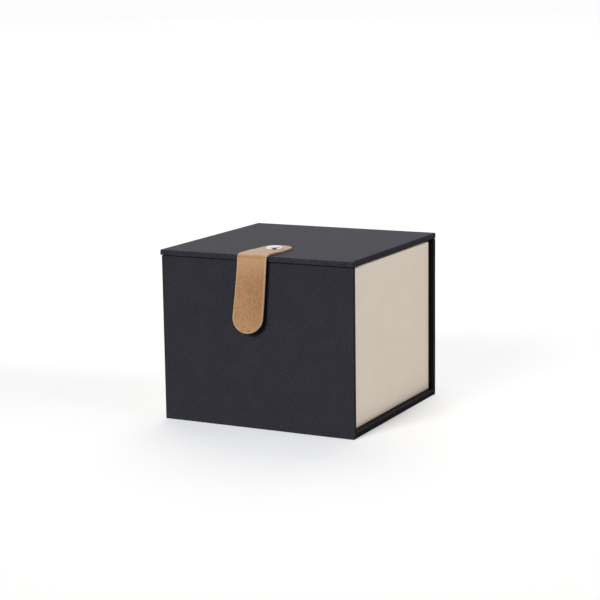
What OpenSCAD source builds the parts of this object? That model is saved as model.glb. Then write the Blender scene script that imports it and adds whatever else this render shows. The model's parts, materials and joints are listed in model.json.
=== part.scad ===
// Gift box with a hinged lid and a leather pull strap.
// The base, front, back and lid are greyboard panels wrapped in dark linen paper.
// A cream paper tray is glued between the base, front and back, and its sides show.
// The lid turns on a paper hinge along the top of the back. The strap is riveted to
// the lid, folds over its front edge and hangs free as a pull tab.
// Origin: centre of the underside. +X is to the right, +Y to the back, +Z up.

/* [Box] */
// Width of the box and of every wrapped panel
box_w = 120; // [80:1:200]
// Depth from the face of the front panel to the face of the back panel
box_d = 117; // [80:1:200]
// Height to the top of the lid
box_h = 99; // [70:1:160]

/* [Wrapped panels] */
// Thickness of the greyboard in the front, back and lid
board_t = 2.5; // [1.5:0.1:4]
// Thickness of the greyboard in the base
base_board_t = 3.2; // [1.5:0.1:5]
// Thickness of the dark wrap with its glue
wrap_t = 0.3; // [0.2:0.05:0.5]
// Width of the margin of wrap that is turned in on the inside of each panel
turn_in = 15; // [8:1:20]

/* [Lid] */
// How far the lid reaches past the front panel
lid_overhang = 1.3; // [0:0.1:4]
// Gap between the lid's lining and the top edges of the front and back panels
lid_clearance = 0.2; // [0.1:0.05:0.6]
// Thickness of the paper lining inside the lid
lining_t = 0.3; // [0.2:0.05:0.5]
// Margin left between the edges of the lid and its lining
lining_margin = 3; // [2:0.5:6]

/* [Tray] */
// How far the tray's sides stand back from the side edges of the panels
side_reveal = 3.1; // [1:0.1:6]
// Thickness of the board in the tray's walls and floor
tray_board_t = 2; // [1.5:0.1:3]
// Thickness of the cream paper
tray_paper_t = 0.2; // [0.15:0.05:0.3]
// How far the tray's rim stands below the top edges of the front and back panels
rim_drop = 1.5; // [0:0.1:3]
// Depth to which the cream paper is folded over the rim
rim_turn_in = 15; // [8:1:25]
// Distance from the rim down to the edge of the inner lining
rim_margin = 3; // [2:0.5:6]
// Length of each leg of the tape that holds a corner of the tray
tape_leg = 12; // [8:1:18]
// Thickness of the corner tape
tape_t = 0.1; // [0.05:0.01:0.12]
// Thickness of the sheet on the tray's floor
floor_sheet_t = 0.3; // [0.2:0.05:0.6]
// Gap all round the sheet on the tray's floor
floor_sheet_gap = 0.2; // [0.1:0.05:0.5]

/* [Closing magnets] */
// Length of each magnet and of the steel bar under it
magnet_l = 15; // [8:1:18]
// Width of each magnet from front to back
magnet_w = 5; // [3:0.5:6]
// Thickness of each magnet
magnet_t = 1.3; // [0.8:0.1:1.4]
// Distance from the side edge of the lid to the nearer end of a magnet
magnet_inset = 20; // [10:1:21]
// Height of the steel bar in the front wall of the tray
keeper_h = 5; // [3:0.5:10]

/* [Hinge strip] */
// Height of the strip that is glued to the back panel
hinge_glue_h = 12; // [8:1:20]
// Distance that the strip stands in from the side edges and below the top of the lid
hinge_inset = 0.5; // [0.2:0.1:2]

/* [Strap] */
// Width of the strap
strap_w = 18; // [12:0.1:26]
// Thickness of the leather
strap_t = 1.1; // [0.8:0.1:1.6]
// Length of the tail from the fold to the tip
tail_l = 42.6; // [25:1:50]
// Gap between the tail and the front edge of the lid
fold_gap = 0.8; // [0.7:0.05:1.5]
// Angle by which the strap has turned on its rivet
strap_skew = 3; // [0:0.5:6]
// Angle at which the tail stands off from the front panel
tail_flare = 3.4; // [0:0.2:10]
// Distance from the rivet back to the round end of the strap
strap_rear = 11; // [10:0.5:16]

/* [Rivet] */
// Distance from the front edge of the lid to the rivet
rivet_back = 22.6; // [16:0.2:35]
// Distance of the rivet to the right of the middle of the lid
rivet_off = 1.4; // [-6:0.2:6]
// Diameter of the rivet's cap
cap_d = 9.6; // [8:0.2:12]
// Height of the cap above the leather
cap_h = 1.3; // [1:0.1:2]
// Height of the cap's rim
cap_rim_h = 0.4; // [0.3:0.05:0.6]
// Width of the level ring along the cap's crest
crest_w = 1; // [0.4:0.1:1.6]
// Diameter of the dimple in the cap
dimple_d = 3.4; // [2:0.2:5]
// Diameter of the dimple's floor
dimple_floor_d = 1.6; // [0.6:0.1:1.8]
// Depth of the dimple in the cap
dimple_depth = 0.5; // [0.2:0.05:0.6]
// Diameter of the rivet's post
post_d = 3.2; // [2.4:0.1:4]
// Diameter of the post's tip, which enters the cap
tip_d = 2.4; // [1.6:0.1:2.4]
// Diameter of the flange on the post, inside the lid
flange_d = 9; // [7:0.2:12]
// Thickness of the flange
flange_t = 0.8; // [0.5:0.1:1.2]
// Clearance around the post in the leather
strap_hole_gap = 0.15; // [0.1:0.05:0.3]
// Clearance around the post in the lid, and around its tip in the cap
post_gap = 0.05; // [0.02:0.01:0.1]
// Depth to which the post's tip enters the cap
tip_depth = 0.4; // [0.2:0.05:0.4]

/* [Hidden] */
$fn = 64;

wrap_colour = [0.20, 0.20, 0.22];
board_colour = [0.55, 0.53, 0.50];
cream_colour = [0.84, 0.80, 0.73];
kraft_colour = [0.72, 0.60, 0.45];
leather_colour = [0.72, 0.55, 0.40];
steel_colour = [0.82, 0.82, 0.84];

// A cut runs this far past the face that it opens
past = 1;
panel_t = board_t + 2 * wrap_t;
base_t = base_board_t + 2 * wrap_t;
lid_bottom_z = box_h - panel_t;
rim_z = lid_bottom_z - lining_t - lid_clearance;
lid_front_y = -box_d / 2 - lid_overhang;

// Lowest and highest corner of each wrapped panel
base_lo = [-box_w / 2, -box_d / 2 + panel_t, 0];
base_hi = [box_w / 2, box_d / 2 - panel_t, base_t];
front_lo = [-box_w / 2, -box_d / 2, 0];
front_hi = [box_w / 2, -box_d / 2 + panel_t, rim_z];
back_lo = [-box_w / 2, box_d / 2 - panel_t, 0];
back_hi = [box_w / 2, box_d / 2, rim_z];
lid_lo = [-box_w / 2, lid_front_y, lid_bottom_z];
lid_hi = [box_w / 2, box_d / 2, box_h];

// The tray fills the space between the base, front and back panels
tray_half_w = box_w / 2 - side_reveal;
tray_half_d = box_d / 2 - panel_t;
tray_z = base_t;
tray_rim_z = rim_z - rim_drop;
board_in = tray_paper_t;
wall_in = board_in + tray_board_t;
paper_in = wall_in + tray_paper_t;
cavity_in = paper_in + tray_paper_t;
floor_z = tray_z + tray_paper_t;
floor_top_z = floor_z + tray_board_t;
wall_top_z = tray_rim_z - tray_paper_t;
front_wall_mid_y = -tray_half_d + board_in + tray_board_t / 2;

// Ends of the right-hand magnet, and the left-hand one mirrors it
magnet_x = box_w / 2 - magnet_inset - magnet_l;

// The strap bends round a centre level with the front edge of the lid
rivet_y = lid_front_y + rivet_back;
fold_x = rivet_off - tan(strap_skew) * rivet_back;
fold_z = box_h - fold_gap;
fold_angle = 90 - tail_flare;
fold_run = (fold_gap + strap_t / 2) * fold_angle * PI / 180;
tail_x = fold_x - tan(strap_skew) * fold_run;
cap_z = box_h + strap_t;
flange_z = lid_bottom_z - lining_t - flange_t;

// A block between its lowest and its highest corner
module block(lo, hi) {
    translate(lo) cube(hi - lo);
}

// A block centred on the tray's axis, its sides a stated distance inside the tray's sides
module tray_block(inset, z_low, z_high) {
    block([-tray_half_w + inset, -tray_half_d + inset, z_low],
          [tray_half_w - inset, tray_half_d - inset, z_high]);
}

// The greyboard inside a wrapped panel
module panel_board(lo, hi) {
    edge = [wrap_t, wrap_t, wrap_t];
    block(lo + edge, hi - edge);
}

// The paper round a panel, with a window between its turned-in margins.
// side points from the panel to its inner face.
module panel_wrap(lo, hi, side) {
    middle = (lo + hi) / 2;
    window_lo = [for (i = [0:2]) side[i] == 0 ? lo[i] + turn_in : side[i] > 0 ? middle[i] : lo[i] - past];
    window_hi = [for (i = [0:2]) side[i] == 0 ? hi[i] - turn_in : side[i] > 0 ? hi[i] + past : middle[i]];
    difference() {
        block(lo, hi);
        panel_board(lo, hi);
        block(window_lo, window_hi);
    }
}

module base_board() {
    color(board_colour) panel_board(base_lo, base_hi);
}

module front_board() {
    color(board_colour) panel_board(front_lo, front_hi);
}

module back_board() {
    color(board_colour) panel_board(back_lo, back_hi);
}

module base_wrap() {
    color(wrap_colour) panel_wrap(base_lo, base_hi, [0, 0, 1]);
}

module front_wrap() {
    color(wrap_colour) panel_wrap(front_lo, front_hi, [0, 1, 0]);
}

module back_wrap() {
    color(wrap_colour) panel_wrap(back_lo, back_hi, [0, -1, 0]);
}

// Paper strip along the outside of the joint between the back and the lid
module hinge_strip() {
    color(wrap_colour)
        block([-box_w / 2 + hinge_inset, box_d / 2, rim_z - hinge_glue_h],
              [box_w / 2 - hinge_inset, box_d / 2 + wrap_t, box_h - hinge_inset]);
}

module tray_floor() {
    color(board_colour) tray_block(wall_in, floor_z, floor_top_z);
}

// A side wall runs the whole depth of the tray. side is -1 for the left and 1 for the right.
module side_wall(side) {
    middle = side * (tray_half_w - board_in - tray_board_t / 2);
    block([middle - tray_board_t / 2, -tray_half_d + board_in, floor_z],
          [middle + tray_board_t / 2, tray_half_d - board_in, wall_top_z]);
}

module tray_left_wall() {
    color(board_colour) side_wall(-1);
}

module tray_right_wall() {
    color(board_colour) side_wall(1);
}

// A front or back wall stands between the side walls. side is -1 for the front and 1 for the back.
module end_wall(side) {
    middle = side * (tray_half_d - board_in - tray_board_t / 2);
    block([-tray_half_w + wall_in, middle - tray_board_t / 2, floor_z],
          [tray_half_w - wall_in, middle + tray_board_t / 2, wall_top_z]);
}

module tray_front_wall() {
    color(board_colour) difference() {
        end_wall(-1);
        keepers(past);
    }
}

module tray_back_wall() {
    color(board_colour) end_wall(1);
}

// The two steel bars in the top edge of the front wall, or the notches for them
module keepers(extra) {
    for (side = [0, 1]) mirror([side, 0, 0])
        block([magnet_x, front_wall_mid_y - tray_board_t / 2 - extra, wall_top_z - keeper_h],
              [magnet_x + magnet_l, front_wall_mid_y + tray_board_t / 2 + extra, wall_top_z + extra]);
}

module keeper_bars() {
    color(steel_colour) keepers(0);
}

// Tape round the outside of each corner of the tray's boards
module tray_corner_tapes() {
    color(kraft_colour) difference() {
        tray_block(board_in - tape_t, floor_z, wall_top_z);
        tray_block(board_in, floor_z - past, wall_top_z + past);
        block([-tray_half_w + board_in + tape_leg, -tray_half_d - past, floor_z - past],
              [tray_half_w - board_in - tape_leg, tray_half_d + past, wall_top_z + past]);
        block([-tray_half_w - past, -tray_half_d + board_in + tape_leg, floor_z - past],
              [tray_half_w + past, tray_half_d - board_in - tape_leg, wall_top_z + past]);
    }
}

// Cream paper over the outside of the tray, its rim and the top of its inside
module tray_wrap() {
    color(cream_colour) difference() {
        union() {
            difference() {
                tray_block(0, tray_z, tray_rim_z);
                tray_block(board_in, floor_z, wall_top_z);
                tray_block(wall_in, floor_z, tray_rim_z + past);
                tray_block(turn_in, tray_z - past, floor_z + past);
            }
            difference() {
                tray_block(wall_in, tray_rim_z - rim_turn_in, tray_rim_z);
                tray_block(paper_in, tray_rim_z - rim_turn_in - past, tray_rim_z + past);
            }
        }
        tray_corner_tapes();
    }
}

// Paper lining on the inside of the walls, over the lower part of the turned-in wrap
module tray_lining() {
    color(cream_colour) difference() {
        union() {
            tray_block(wall_in, floor_top_z, tray_rim_z - rim_turn_in);
            tray_block(paper_in, floor_top_z, tray_rim_z - rim_margin);
        }
        tray_block(cavity_in, floor_top_z - past, tray_rim_z + past);
    }
}

module floor_sheet() {
    color(cream_colour)
        tray_block(cavity_in + floor_sheet_gap, floor_top_z, floor_top_z + floor_sheet_t);
}

// The hole for the rivet's post through the lid
module lid_post_hole() {
    translate([rivet_off, rivet_y, lid_bottom_z - lining_t - past])
        cylinder(d = post_d + 2 * post_gap, h = panel_t + lining_t + 2 * past);
}

// The two magnets in the underside of the lid's board, or the pockets for them
module magnets(extra) {
    for (side = [0, 1]) mirror([side, 0, 0])
        block([magnet_x, front_wall_mid_y - magnet_w / 2, lid_bottom_z + wrap_t - extra],
              [magnet_x + magnet_l, front_wall_mid_y + magnet_w / 2, lid_bottom_z + wrap_t + magnet_t]);
}

module lid_board() {
    color(board_colour) difference() {
        panel_board(lid_lo, lid_hi);
        magnets(past);
        lid_post_hole();
    }
}

module lid_wrap() {
    color(wrap_colour) difference() {
        panel_wrap(lid_lo, lid_hi, [0, 0, -1]);
        lid_post_hole();
    }
}

// Sheet inside the lid. It fills the window in the wrap and covers the turned-in margins.
module lid_lining() {
    color(wrap_colour) difference() {
        union() {
            block([lid_lo[0] + lining_margin, lid_lo[1] + lining_margin, lid_bottom_z - lining_t],
                  [lid_hi[0] - lining_margin, lid_hi[1] - lining_margin, lid_bottom_z]);
            block([lid_lo[0] + turn_in, lid_lo[1] + turn_in, lid_bottom_z - lining_t],
                  [lid_hi[0] - turn_in, lid_hi[1] - turn_in, lid_bottom_z + wrap_t]);
        }
        lid_post_hole();
    }
}

module lid_magnets() {
    color(steel_colour) magnets(0);
}

// Low cap with a rounded crest and a dimple in its middle
module rivet_cap() {
    crest_r = dimple_d / 2 + crest_w;
    dimple_z = cap_h - dimple_depth;
    color(steel_colour) translate([rivet_off, rivet_y, cap_z]) difference() {
        rotate_extrude() polygon([
            [0, 0], [cap_d / 2, 0], [cap_d / 2, cap_rim_h],
            [crest_r, cap_h], [dimple_d / 2, cap_h],
            [dimple_floor_d / 2, dimple_z], [0, dimple_z]
        ]);
        translate([0, 0, -past]) cylinder(d = tip_d + 2 * post_gap, h = past + tip_depth);
    }
}

// Flange inside the lid, with the post that passes up through the lid and the strap
module rivet_post() {
    reach = cap_z - flange_z;
    color(steel_colour) translate([rivet_off, rivet_y, flange_z]) {
        cylinder(d = flange_d, h = flange_t);
        cylinder(d = post_d, h = reach);
        cylinder(d = tip_d, h = reach + tip_depth - post_gap);
    }
}

// A round-ended strip that runs down the page from the origin and leans by the skew
module strap_strip(length) {
    rotate(-strap_skew) {
        translate([-strap_w / 2, -length + strap_w / 2]) square([strap_w, length]);
        translate([0, -length + strap_w / 2]) circle(d = strap_w);
    }
}

// The part of the strap that lies on the lid
module strap_top() {
    rear = rivet_y + strap_rear + strap_w;
    color(leather_colour) translate([0, 0, box_h]) linear_extrude(strap_t) difference() {
        intersection() {
            translate([rivet_off, rivet_y]) rotate(-strap_skew) {
                translate([0, strap_rear - strap_w / 2]) circle(d = strap_w);
                translate([-strap_w / 2, strap_rear - strap_w / 2 - rivet_back - strap_w])
                    square([strap_w, rivet_back + strap_w]);
            }
            translate([-box_w, lid_front_y]) square([2 * box_w, rear - lid_front_y]);
        }
        translate([rivet_off, rivet_y]) circle(d = post_d + 2 * strap_hole_gap);
    }
}

// The bend over the front edge of the lid
module strap_fold() {
    fold_w = strap_w / cos(strap_skew);
    color(leather_colour) translate([(fold_x + tail_x) / 2, lid_front_y, fold_z])
        rotate([180, 0, 0]) rotate([0, 90, 0]) rotate_extrude(angle = fold_angle)
            translate([fold_gap, -fold_w / 2]) square([strap_t, fold_w]);
}

// The tail that hangs in front of the box
module strap_tail() {
    length = tail_l / cos(strap_skew);
    color(leather_colour) translate([tail_x, lid_front_y, fold_z])
        rotate([-tail_flare, 0, 0]) translate([0, -fold_gap, 0])
            rotate([90, 0, 0]) linear_extrude(strap_t) intersection() {
                strap_strip(length);
                translate([-strap_w, -length - strap_w]) square([2 * strap_w, length + strap_w]);
            }
}

base_board();
front_board();
back_board();
base_wrap();
front_wrap();
back_wrap();
hinge_strip();
tray_floor();
tray_left_wall();
tray_right_wall();
tray_front_wall();
tray_back_wall();
tray_corner_tapes();
tray_wrap();
tray_lining();
floor_sheet();
keeper_bars();
lid_board();
lid_wrap();
lid_lining();
lid_magnets();
rivet_cap();
rivet_post();
strap_top();
strap_fold();
strap_tail();
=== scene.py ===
"""Looks of the gift box: paper-wrapped panels, a cream tray, a leather strap and its rivet.

Lengths are in metres in the part's own frame: the origin is the centre of the underside,
+X is to the right, +Y to the back and +Z up.
"""

import json
import math

import bmesh
import bpy
from mathutils import Matrix, Vector, noise


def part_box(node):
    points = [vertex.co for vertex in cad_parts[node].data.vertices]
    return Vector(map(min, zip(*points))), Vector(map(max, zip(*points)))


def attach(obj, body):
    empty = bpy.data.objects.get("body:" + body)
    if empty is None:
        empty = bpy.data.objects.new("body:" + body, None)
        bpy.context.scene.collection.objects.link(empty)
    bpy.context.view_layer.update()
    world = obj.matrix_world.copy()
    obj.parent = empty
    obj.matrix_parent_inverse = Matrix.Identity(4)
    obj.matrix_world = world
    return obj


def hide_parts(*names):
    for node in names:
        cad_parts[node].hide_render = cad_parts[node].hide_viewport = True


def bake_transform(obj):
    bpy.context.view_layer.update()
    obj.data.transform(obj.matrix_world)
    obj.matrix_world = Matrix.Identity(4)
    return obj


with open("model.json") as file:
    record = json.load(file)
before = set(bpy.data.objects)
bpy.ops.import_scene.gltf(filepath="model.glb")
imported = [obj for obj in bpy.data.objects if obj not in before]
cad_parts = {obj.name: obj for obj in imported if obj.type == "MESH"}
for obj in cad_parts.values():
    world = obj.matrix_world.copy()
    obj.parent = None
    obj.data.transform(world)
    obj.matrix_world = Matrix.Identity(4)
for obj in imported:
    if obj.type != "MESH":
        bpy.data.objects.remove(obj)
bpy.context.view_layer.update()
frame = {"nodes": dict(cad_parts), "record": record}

MM = 0.001
X, Y, Z = 0, 1, 2

# Camera
CAMERA_PLACE = Vector((0.4418, -0.8756, 0.2447))
CAMERA_AZIMUTH = math.radians(26.864)
CAMERA_ELEVATION = math.radians(10.447)
CAMERA_ROLL = math.radians(-0.786)
CAMERA_LENS = 102.0
SENSOR = 36.0

# Wrapped panels
PAPER_T = 0.28 * MM  # the wrap with its glue, a hair short of the board inside it
EDGE_R = 0.4 * MM
CORNER_R = 0.42 * MM
TURN_IN = 15 * MM
FLAP_T = 0.12 * MM  # how far a doubled layer of paper stands proud
FLAP_STEP = 0.13 * MM
TUCK_SHADE = -0.9  # painted shade: a dark line beside a corner's tuck
FLAP_RUN = 3.0 * MM  # reach of a corner's tuck along the inner side of an edge
FLAP_END = 0.1 * MM  # bevel of the turned-in paper's own edge
NARROW_SEAM = 0.3 * MM  # how far a tuck reaches past a corner on the outside
WIDE_SEAM = 2 * MM  # and on the inner face
LEAST_R = 0.2 * MM
EDGE_WAVE = 0.035 * MM
EDGE_WAVE_LENGTH = 17 * MM
CLEAR = 0.01 * MM  # between sheets that lie on each other
ARC_PARTS = 5
SIDE_PARTS = 8
SHARP_ANGLE = math.radians(50)

# Lid lining
LINING_R = 0.1 * MM
LINING_CORNER_R = 0.8 * MM

# Tray
TRAY_CORNER_R = 0.8 * MM
RIM_R = 0.75 * MM
BOTTOM_R = 0.9 * MM
INNER_CORNER_R = 0.7 * MM
HIDDEN_CORNER_R = 0.5 * MM
TRAY_PAPER_T = 0.19 * MM
WALL_IN = 2.2 * MM
WALL_T = 2.4 * MM
LINING_IN = 2.6 * MM
RIM_TURN_IN = 15 * MM
LINING_DIP = 0.1 * MM
TRAY_SEAM = 3 * MM
TRAY_LAP_T = 0.08 * MM
FLOOR_LIFT = 0.12 * MM
FLOOR_CORNER_R = 0.8 * MM

# Hinge paper
HINGE_PAPER_T = 0.14 * MM
HINGE_GROOVE = 0.12 * MM
HINGE_GROOVE_REACH = 0.4 * MM
HINGE_END, HINGE_END_DROP = 0.1 * MM, 0.06 * MM  # bevel of its upper and lower edges
HINGE_WAVE = 0.012 * MM
HINGE_FLAT = 0.02 * MM  # the paper is uneven only where the groove is shallower than this

# Strap
STRAP_W = 18 * MM
STRAP_T = 1.1 * MM
STRAP_SKEW = math.radians(3)
STRAP_REAR = 11 * MM
TAIL_L = 43.25 * MM
RIVET_X = 1.4 * MM
RIVET_TO_EDGE = 22.6 * MM
FOLD_GAP = 0.8 * MM
FOLD_ANGLE = math.radians(86.6)
STRAP_END = RIVET_TO_EDGE + (FOLD_GAP + STRAP_T / 2) * FOLD_ANGLE + TAIL_L
GRAIN_EDGE_R = 0.46 * MM
FLESH_EDGE_R = 0.18 * MM
PALE_FROM, PALE_TO = RIVET_TO_EDGE + 2 * MM, RIVET_TO_EDGE + 17 * MM  # a painted highlight pales the leather below the fold, where it faces up to the light
# where a painted highlight pales the tail's tip, which curls out toward the light
TIP_PALE_FROM, TIP_PALE_TO = RIVET_TO_EDGE + 30 * MM, RIVET_TO_EDGE + 44 * MM
POST_HOLE_R = 1.75 * MM
BULGE_SLOPE = math.radians(3.2)  # the leather rises this steeply beside the rivet
BULGE_UP, BULGE_DOWN = (5 * MM, 8.5 * MM), (9 * MM, 13 * MM)
FALL_SLOPE = math.radians(1.9)  # and falls this steeply toward the lid's front edge
FALL_RANGE = (13 * MM, 18 * MM)
TURN_FROM, TURN_TO = 0.05 * MM, 2.85 * MM  # past the lid's edge, where the leather turns down
TAIL_STEEPEST = math.radians(88)
TAIL_TIP_SLOPE = math.radians(84.2)
CURL_FROM = 12 * MM  # this far past the fold, and so are TWIST_ and CROWN_
TAIL_TWIST = math.radians(7)
TWIST_FROM = 4 * MM
TAIL_CROWN = 0.35 * MM
CROWN_FROM, CROWN_TO = 2 * MM, 9 * MM
TAIL_LEAN = math.radians(1.2)
LID_SWELL = 0.5 * MM  # the strap's right edge spreads and sinks in front of the rivet
EDGE_DROP = 0.22 * MM
SWELL_AT, SWELL_REACH = 9 * MM, 9 * MM
CAP_DENT, CAP_DENT_REACH = 0.5 * MM, 0.9 * MM
LID_CONTACT = 0.025 * MM  # least height of the leather's underside over the lid
LID_CONTACT_END = 0.3 * MM  # which holds this far past the lid's edge
CREASE_AT, CREASE_REACH = 2.2 * MM, 0.75 * MM
ROW_GAP, FOLD_ROW_GAP = 1.2 * MM, 0.3 * MM  # between rows of points across the strap
FOLD_ROWS = 4 * MM

# Rivet
CAP_R = 4.8 * MM  # where the leather starts to rise again round the cap
CAP_FOOT, CAP_TOP = -0.46 * MM, 1.21 * MM  # heights over the leather

# Studio
FLOOR_R = 60.0
FLOOR_SEEN, FLOOR_GLOW = 0.68, 0.3  # paint and glow as the camera sees them, before the box
BEHIND_SEEN, BEHIND_GLOW = 0.28, 0.75  # and behind it, where more glow and less paint wash out the box's shadow: painted light
BEHIND_FROM, BEHIND_TO = 0.0, 0.08
BLUE_FROM, BLUE_TO = -0.05, -0.065  # before the box its shadow is bluer
SHADOW_BLUE = 0.07  # moved from the paint to the glow
SHADOW_RED = -0.35  # share of it that red moves the other way
FLOOR_BOUNCE = 0.2  # paint for the light that the floor throws back on the box
FLOOR_MIRRORED = 0.05
FRONT_POOL = (0.2, 0.6, 1.0, 0.91)  # a painted pool of light: two radii, and the floor's brightness at each
BACK_POOL = (1.5, 14.0, 1.0, 0.93)
SKY_DIFFUSE = 0.2
MIRRORED_WAY = (-0.894, 0.447, 0.0)  # the side on which the mirrored surroundings are bright
MIRRORED_FADE = (0.0, 0.85, 0.08, 1.0)  # two shares of that way, and the brightness at each
PANELS_WAY = (0.894, 0.447, 0.0)  # two bright panels hang this way and the opposite way
PANELS_ASIDE, PANELS_HEIGHT = (0.22, 0.45), (0.12, 0.3)

# Grain of the materials
THREAD = 0.42 * MM  # spacing of the linen's threads
WAVE_BANDS = 0.314  # a wave texture repeats after this length at scale 1
THREAD_WAVER = 0.12 * MM
PEBBLE = 0.72 * MM  # spacing of the leather's grain
PEBBLE_WAVER = 0.3 * MM


def srgb(red, green, blue):
    """A colour written as 0 to 255 sRGB values, as linear RGBA."""
    def linear(value):
        value /= 255
        return value / 12.92 if value <= 0.04045 else ((value + 0.055) / 1.055) ** 2.4

    return (linear(red), linear(green), linear(blue), 1)


# Papers
LINEN_DARK, LINEN_LIGHT = srgb(37, 37, 43), srgb(57, 56, 64)
LINEN_SPECK, LINEN_PIT = srgb(84, 84, 92), srgb(26, 26, 31)
# Rubbed paper, and painted shade for crevices, edge strips and inner margins
LINEN_RUBBED, LINEN_SHADE = srgb(62, 61, 67), srgb(14, 12, 12)
CREAM_DARK, CREAM_LIGHT = srgb(237, 223, 205), srgb(240, 227, 210)
CREAM_FLECK = srgb(214, 200, 180)
# Rubbed paper that also paints the highlight on the tray's upright corners, and painted shade near the
# tray's foot
CREAM_WORN_AND_HIGHLIGHT, CREAM_SHADE = srgb(245, 242, 234), srgb(140, 126, 106)
# Leather
HIDE_DARK, HIDE_LIGHT = srgb(163, 124, 87), srgb(171, 134, 97)
# The second colour here is painted shade, for the strap's right side that is turned from the light.
HIDE_BLUSH, HIDE_SHADE_RIGHT = srgb(168, 122, 86), srgb(156, 108, 74)
# Both colours here are painted highlights, below the fold and at the tip.
HIDE_FOLD_HIGHLIGHT, HIDE_TIP_HIGHLIGHT = srgb(190, 152, 115), srgb(188, 148, 112)
HIDE_GROOVE, HIDE_CREASE = srgb(124, 88, 56), srgb(138, 98, 58)
# The first colour here is painted shade, for the leather on the lid.
HIDE_SHADE_ON_LID, HIDE_FLESH = srgb(132, 108, 84), srgb(188, 152, 116)
# The second colour here is painted shade, for the cut edge on the lid.
HIDE_CUT, HIDE_CUT_SHADE_ON_LID = srgb(208, 180, 148), srgb(112, 90, 70)
# Metal and board
RIVET_STEEL, BAR_STEEL = srgb(232, 230, 226), srgb(196, 196, 198)
MAGNET_NICKEL = srgb(206, 203, 198)
BOARD_DARK, BOARD_LIGHT = srgb(118, 112, 104), srgb(146, 140, 131)
KRAFT_DARK, KRAFT_LIGHT = srgb(160, 124, 84), srgb(186, 150, 108)


def smooth_step(value, low, high):
    """0 up to `low` and 1 from `high` on, with an even start and end between them."""
    share = min(1, max(0, (value - low) / (high - low)))
    return share * share * (3 - 2 * share)


# ---------------------------------------------------------------- materials


class Nodes:
    """The node tree of a new material, or of a world. add() makes a node, and links or sets
    its inputs."""

    def __init__(self, name, world=None):
        self.material = world or bpy.data.materials.new(name)
        self.material.use_nodes = True
        self.tree = self.material.node_tree
        self.tree.nodes.clear()

    def add(self, kind, inputs=None, **settings):
        made = self.tree.nodes.new("ShaderNode" + kind)
        for key, value in settings.items():
            setattr(made, key, value)
        for key, value in (inputs or {}).items():
            if isinstance(value, bpy.types.NodeSocket):
                self.tree.links.new(value, made.inputs[key])
            else:
                made.inputs[key].default_value = value
        return made

    def math(self, operation, first, second=0.0):
        return self.add("Math", {0: first, 1: second}, operation=operation).outputs[0]

    def place(self):
        """Where a point lies on the piece at rest."""
        return self.add("TexCoord").outputs["Object"]

    def attribute(self, name, output="Fac"):
        return self.add("Attribute", attribute_name=name).outputs[output]

    def noise(self, where, size, detail=3.0, roughness=0.55):
        """Soft noise with features of about `size` metres, from 0 to 1."""
        settings = {"Vector": where, "Scale": 1 / size, "Detail": detail, "Roughness": roughness}
        return self.add("TexNoise", settings).outputs["Fac"]

    def span(self, value, low, high, to_low=0.0, to_high=1.0, kind="LINEAR"):
        """A value moved from one range to another, and kept within it."""
        ends = {"From Min": low, "From Max": high, "To Min": to_low, "To Max": to_high}
        return self.add("MapRange", {"Value": value, **ends}, interpolation_type=kind).outputs["Result"]

    def mix(self, share, first, second):
        inputs = {0: share, 6: first, 7: second}
        return self.add("Mix", inputs, data_type="RGBA").outputs[2]

    def bump(self, height, depth, strength=1.0, normal=None):
        inputs = {"Height": height, "Distance": depth, "Strength": strength}
        if normal is not None:
            inputs["Normal"] = normal
        return self.add("Bump", inputs).outputs["Normal"]

    def waver(self, where, size, reach):
        """A place moved about by up to `reach` metres, in a pattern of about `size` metres."""
        settings = {"Vector": where, "Scale": 1 / size, "Detail": 2.0}
        drift = self.add("TexNoise", settings).outputs["Color"]
        drift = self.add("VectorMath", {0: drift, 1: (reach,) * 3}, operation="MULTIPLY").outputs[0]
        return self.add("VectorMath", {0: where, 1: drift}, operation="ADD").outputs[0]

    def seen(self):
        """1 for camera, glossy and transmission rays, which see a white backdrop. Also gives
        the outputs of the Light Path node."""
        path = self.add("LightPath").outputs
        total = path["Is Camera Ray"]
        for name in ("Is Glossy Ray", "Is Transmission Ray"):
            both = self.add("Math", {0: total, 1: path[name]}, operation="ADD", use_clamp=True)
            total = both.outputs[0]
        return total, path

    def surface(self, **inputs):
        """The finished material, from the inputs of a Principled shader."""
        named = {key.replace("_", " "): value for key, value in inputs.items()}
        shader = self.add("BsdfPrincipled", named)
        self.add("OutputMaterial", {"Surface": shader.outputs[0]})
        return self.material


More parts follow.
